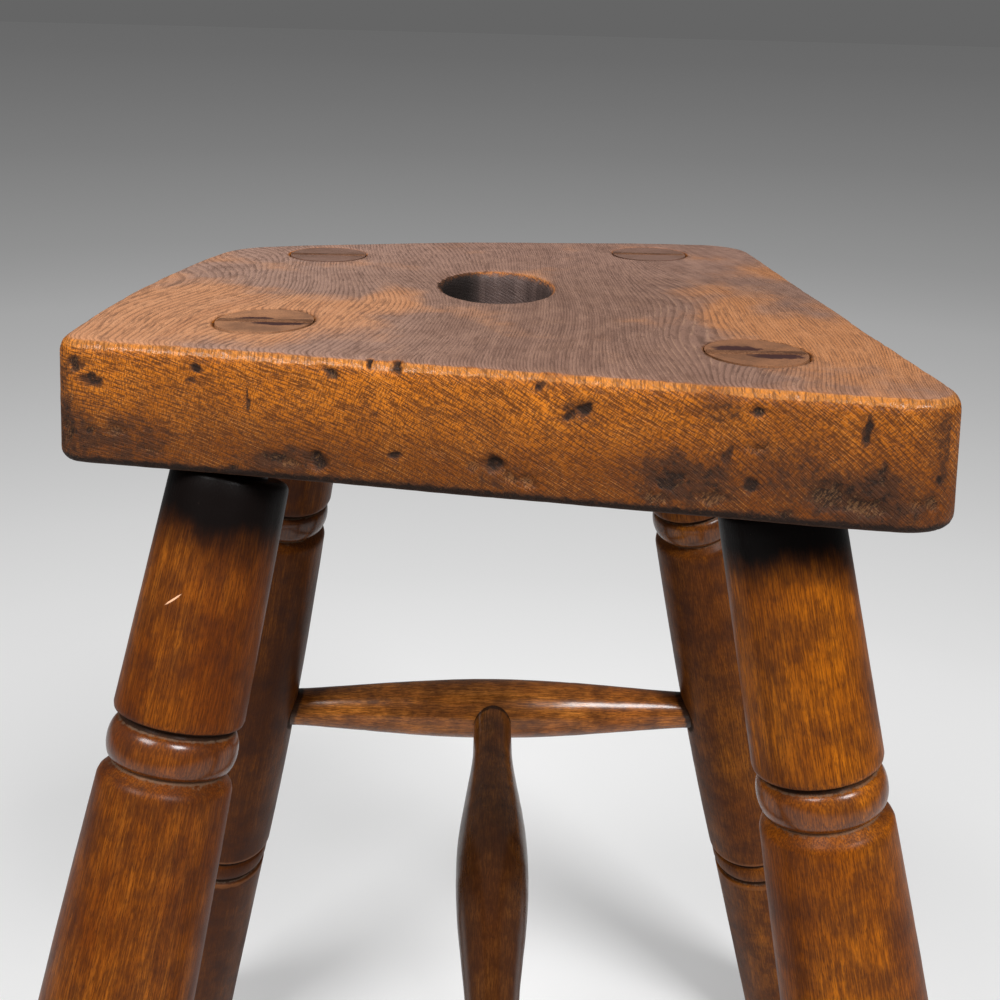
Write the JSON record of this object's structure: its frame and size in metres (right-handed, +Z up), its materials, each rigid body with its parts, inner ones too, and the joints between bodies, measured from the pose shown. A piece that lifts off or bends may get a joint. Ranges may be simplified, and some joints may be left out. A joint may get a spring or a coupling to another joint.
{
  "type": "stool",
  "caption": "Tall wooden work stool: thick slab seat with an oval hand hole, splayed turned legs wedged through the seat, turned H stretcher",
  "frame": {"origin": "on the floor, midway between the outermost feet each way", "axes": "+Z up through the seat, +X to the right and -Y towards the near face with the end grain"},
  "size_m": [0.5316, 0.5342, 0.62],
  "materials": {
    "elm_seat": "old elm, waxed and rubbed, end grain on the near and far faces",
    "beech_legs": "beech stained red brown, worn shellac",
    "beech_stretchers": "beech stained orange brown, worn shellac",
    "wedges": "hardwood wedge, end grain, darkened"
  },
  "bodies": {
    "root": {"seat": "elm_seat", "leg_front_left": "beech_legs", "leg_front_right": "beech_legs", "leg_rear_left": "beech_legs", "leg_rear_right": "beech_legs", "wedge_front_left": "wedges", "wedge_front_right": "wedges", "wedge_rear_left": "wedges", "wedge_rear_right": "wedges", "stretcher_front": "beech_stretchers", "stretcher_rear": "beech_stretchers", "stretcher_centre": "beech_stretchers"}
  },
  "joints": []
}
